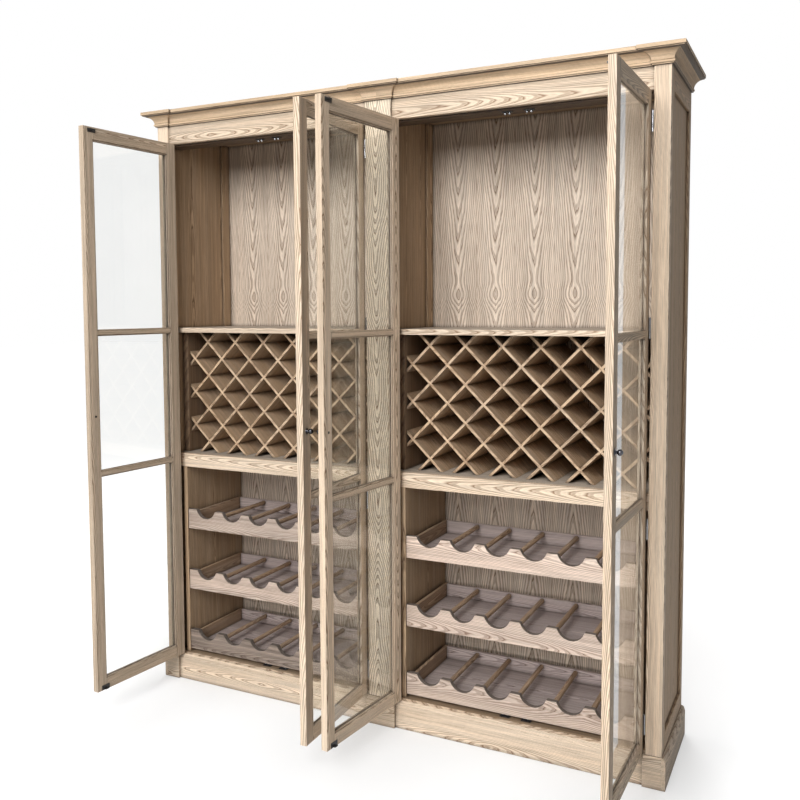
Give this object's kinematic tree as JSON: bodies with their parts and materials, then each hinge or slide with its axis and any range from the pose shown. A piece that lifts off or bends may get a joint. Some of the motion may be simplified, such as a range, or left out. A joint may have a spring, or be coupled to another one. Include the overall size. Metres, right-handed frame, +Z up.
{
  "type": "wine cabinet",
  "caption": "Tall two-bay wine cabinet in pale oak with glazed doors, display spaces, lattice bottle racks and scalloped pull-out bottle trays.",
  "frame": {"origin": "on the floor, on the underside of the plinth's front board, in the middle of the cabinet's width and level with the pilasters' front faces", "axes": "+X to the right as seen from the front, +Y to the back, +Z up"},
  "size_m": [2.166, 0.8846, 2.4],
  "materials": {
    "oak": "matt limed oak",
    "oak_inside": "matt oak, darker inside",
    "oak_dark": "matt oak, dark",
    "oak_grey": "matt grey oak",
    "oak_veneer": "matt oak veneer",
    "oak_slats": "matt oak",
    "oak_tray": "matt oak, grey brown",
    "glass": "clear float glass",
    "chrome": "polished"
  },
  "bodies": {
    "cabinet": {"back_panel_left": "oak_veneer", "back_panel_right": "oak_veneer", "bottom_board": "oak_inside", "centre_partition": "oak_inside", "cornice": "oak", "frieze_left": "oak", "frieze_right": "oak", "lattice_cheek_left_inner": "oak_dark", "lattice_cheek_left_outer": "oak_dark", "lattice_cheek_right_inner": "oak_dark", "lattice_cheek_right_outer": "oak_dark", "lattice_left": "oak_slats", "lattice_right": "oak_slats", "lower_shelf_left": "oak_grey", "lower_shelf_right": "oak_grey", "mid_shelf_left": "oak_grey", "mid_shelf_right": "oak_grey", "pilaster_centre": "oak", "pilaster_left": "oak", "pilaster_right": "oak", "plinth_front": "oak", "plinth_side_left": "oak", "plinth_side_right": "oak", "runner_panel_left_inner": "oak_inside", "runner_panel_left_outer": "oak_inside", "runner_panel_right_inner": "oak_inside", "runner_panel_right_outer": "oak_inside", "side_frame_left": "oak", "side_frame_right": "oak", "side_lining_left": "oak_inside", "side_lining_right": "oak_inside", "side_panel_left": "oak", "side_panel_right": "oak", "stop_rail_left": "oak_inside", "stop_rail_right": "oak_inside", "top_board": "oak_inside"},
    "door_left_outer": {"door_frame_left_outer": "oak", "door_glass_left_outer": "glass", "door_knob_left_outer": "chrome"},
    "door_left_inner": {"door_frame_left_inner": "oak", "door_glass_left_inner": "glass", "door_knob_left_inner": "chrome"},
    "door_right_inner": {"door_frame_right_inner": "oak", "door_glass_right_inner": "glass", "door_knob_right_inner": "chrome"},
    "door_right_outer": {"door_frame_right_outer": "oak", "door_glass_right_outer": "glass", "door_knob_right_outer": "chrome"},
    "tray_left_bottom": {"tray_front_left_bottom": "oak", "tray_box_left_bottom": "oak_tray"},
    "tray_left_middle": {"tray_front_left_middle": "oak", "tray_box_left_middle": "oak_tray"},
    "tray_left_top": {"tray_front_left_top": "oak", "tray_box_left_top": "oak_tray"},
    "tray_right_bottom": {"tray_front_right_bottom": "oak", "tray_box_right_bottom": "oak_tray"},
    "tray_right_middle": {"tray_front_right_middle": "oak", "tray_box_right_middle": "oak_tray"},
    "tray_right_top": {"tray_front_right_top": "oak", "tray_box_right_top": "oak_tray"}
  },
  "joints": [
    {"name": "door_left_outer_hinge", "type": "hinge", "parent": "cabinet", "child": "door_left_outer", "pos_m": [-0.978, 0.005, 1.189], "axis": [0, 0, -1], "range_deg": [-95.3, 24]},
    {"name": "door_left_inner_hinge", "type": "hinge", "parent": "cabinet", "child": "door_left_inner", "pos_m": [-0.057, 0.005, 1.189], "axis": [0, 0, 1], "range_deg": [-91.6, 0]},
    {"name": "door_right_inner_hinge", "type": "hinge", "parent": "cabinet", "child": "door_right_inner", "pos_m": [0.057, 0.005, 1.189], "axis": [0, 0, -1], "range_deg": [-96.5, 0]},
    {"name": "door_right_outer_hinge", "type": "hinge", "parent": "cabinet", "child": "door_right_outer", "pos_m": [0.978, 0.005, 1.189], "axis": [0, 0, 1], "range_deg": [-88.7, 30.8]},
    {"name": "tray_left_bottom_slide", "type": "slide", "parent": "cabinet", "child": "tray_left_bottom", "axis": [0, -1, 0], "range_m": [0, 0.275]},
    {"name": "tray_left_middle_slide", "type": "slide", "parent": "cabinet", "child": "tray_left_middle", "axis": [0, -1, 0], "range_m": [0, 0.275]},
    {"name": "tray_left_top_slide", "type": "slide", "parent": "cabinet", "child": "tray_left_top", "axis": [0, -1, 0], "range_m": [0, 0.275]},
    {"name": "tray_right_bottom_slide", "type": "slide", "parent": "cabinet", "child": "tray_right_bottom", "axis": [0, -1, 0], "range_m": [0, 0.275]},
    {"name": "tray_right_middle_slide", "type": "slide", "parent": "cabinet", "child": "tray_right_middle", "axis": [0, -1, 0], "range_m": [0, 0.275]},
    {"name": "tray_right_top_slide", "type": "slide", "parent": "cabinet", "child": "tray_right_top", "axis": [0, -1, 0], "range_m": [0, 0.275]}
  ]
}
